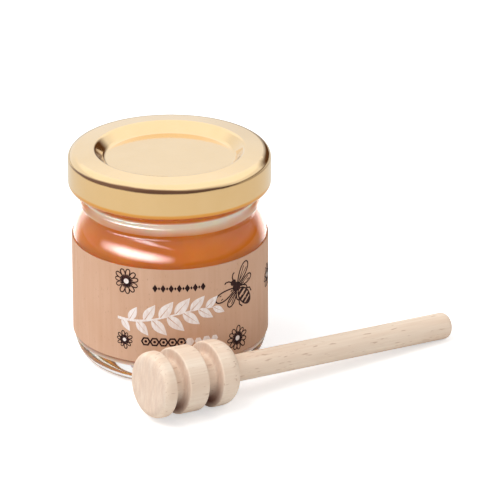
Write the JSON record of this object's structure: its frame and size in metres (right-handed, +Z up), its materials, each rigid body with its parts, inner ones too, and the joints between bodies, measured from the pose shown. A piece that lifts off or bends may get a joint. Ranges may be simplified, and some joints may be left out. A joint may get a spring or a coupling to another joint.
{
  "type": "honey jar with dipper",
  "caption": "Small glass jar full of amber honey, shut by a gold twist-off lid and wrapped in a kraft paper label, with a turned wooden dipper lying in front for lifting the honey.",
  "frame": {"origin": "centre of the jar's foot, on the surface that the jar and the dipper rest on", "axes": "+Z up along the jar's axis; the label's front faces -Y, and the dipper lies in front of it with its handle towards +X"},
  "size_m": [0.087, 0.0667, 0.0497],
  "materials": {
    "jar_glass": "gloss",
    "honey": "gloss",
    "label": "matte",
    "lid": "gloss",
    "dipper": "satin"
  },
  "bodies": {
    "root": {"jar_glass": "jar_glass", "honey": "honey", "label": "label", "lid": "lid", "dipper": "dipper"}
  },
  "joints": []
}
